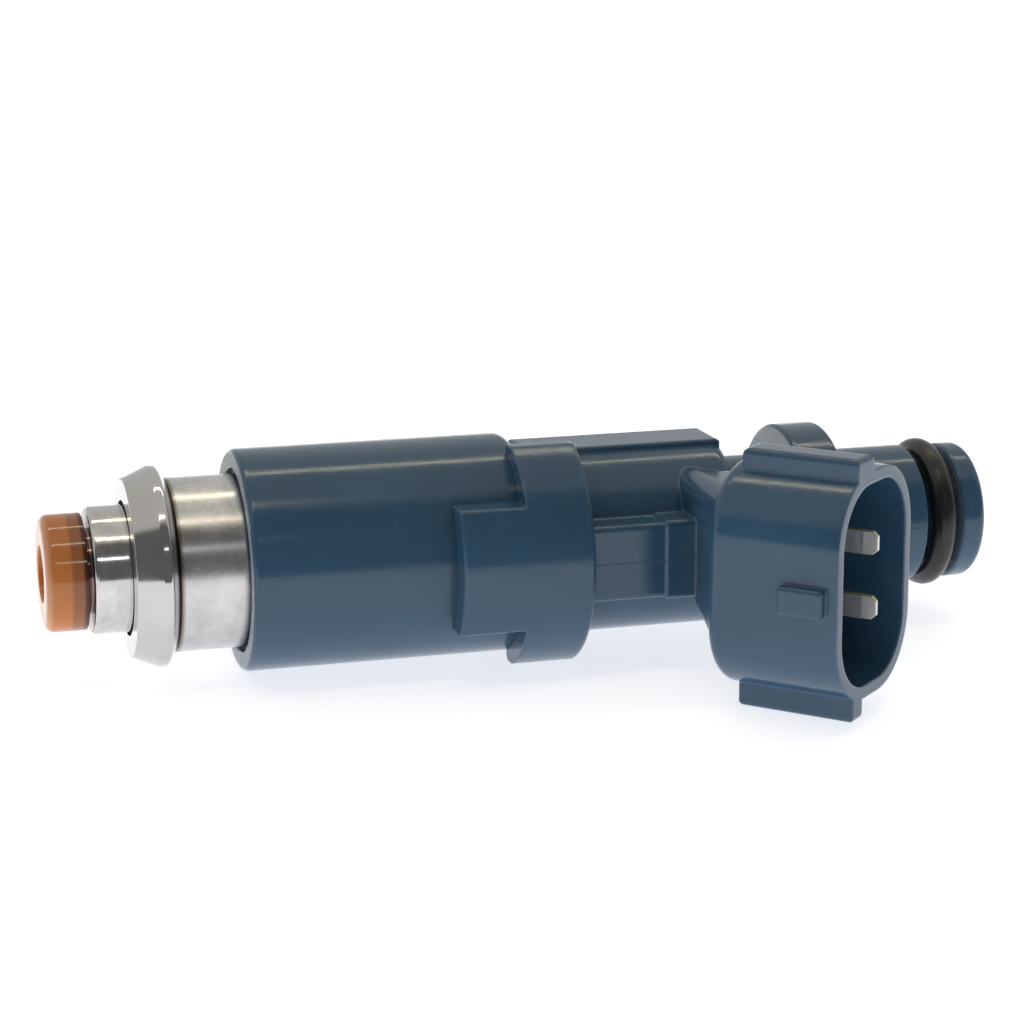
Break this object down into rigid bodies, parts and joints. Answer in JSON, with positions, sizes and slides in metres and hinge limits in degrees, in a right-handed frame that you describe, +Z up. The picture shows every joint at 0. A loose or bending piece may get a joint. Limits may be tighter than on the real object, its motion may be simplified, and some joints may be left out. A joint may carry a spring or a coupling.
{
  "type": "fuel injector",
  "caption": "Top-feed fuel injector: spray cap, steel nozzle and housing, moulded body, slanted connector socket and sealed rail inlet, with a lifting needle inside.",
  "frame": {"origin": "on the injector's axis, at the front face of the flared ring, where the nozzle's bare cylinder ends", "axes": "+X along the axis from the spray tip to the fuel inlet; -Y the side where the electrical connector stands out; +Z upward, square to the plane of the two axes"},
  "size_m": [0.0761, 0.0338, 0.0201],
  "materials": {
    "blue_plastic": "glossy glass-filled moulding, faint flow marks",
    "amber_plastic": "translucent amber, smooth",
    "turned_steel": "turned, fine brushed marks around the axis",
    "polished_steel": "polished, slightly worn",
    "core_steel": "soft magnetic steel, satin",
    "spring_steel": "drawn wire",
    "black_rubber": "smooth, oiled",
    "brown_rubber": "smooth",
    "copper_wire": "enamelled copper windings",
    "coil_plastic": "black moulding",
    "tape_plastic": "amber film",
    "tinned_brass": "tinned, bright edges",
    "filter_brass": "turned",
    "filter_plastic": "natural",
    "filter_mesh": "fine woven screen"
  },
  "bodies": {
    "root": {"spray_cap": "amber_plastic", "orifice_plate": "turned_steel", "nozzle_body": "turned_steel", "stop_washer": "turned_steel", "return_spring": "spring_steel", "adjusting_pipe": "turned_steel", "body_housing": "turned_steel", "fixed_core": "core_steel", "guide_ring": "turned_steel", "coil_bobbin": "coil_plastic", "coil_winding": "copper_wire", "coil_tape": "tape_plastic", "lower_coil_seal": "brown_rubber", "upper_coil_seal": "brown_rubber", "yoke_plate": "core_steel", "retaining_ring": "polished_steel", "main_sleeve": "blue_plastic", "connector_moulding": "blue_plastic", "terminal_upper": "tinned_brass", "terminal_lower": "tinned_brass", "rail_oring": "black_rubber", "filter_ring": "filter_brass", "filter_frame": "filter_plastic", "filter_screen": "filter_mesh"},
    "needle": {"needle_valve": "polished_steel", "armature": "core_steel"}
  },
  "joints": [
    {"name": "needle_lift", "type": "slide", "parent": "root", "child": "needle", "axis": [1, 0, 0], "range_m": [0, 0.0001], "stiffness_N_per_m": 3000, "springref_m": -0.001, "deforming": ["return_spring"]}
  ]
}
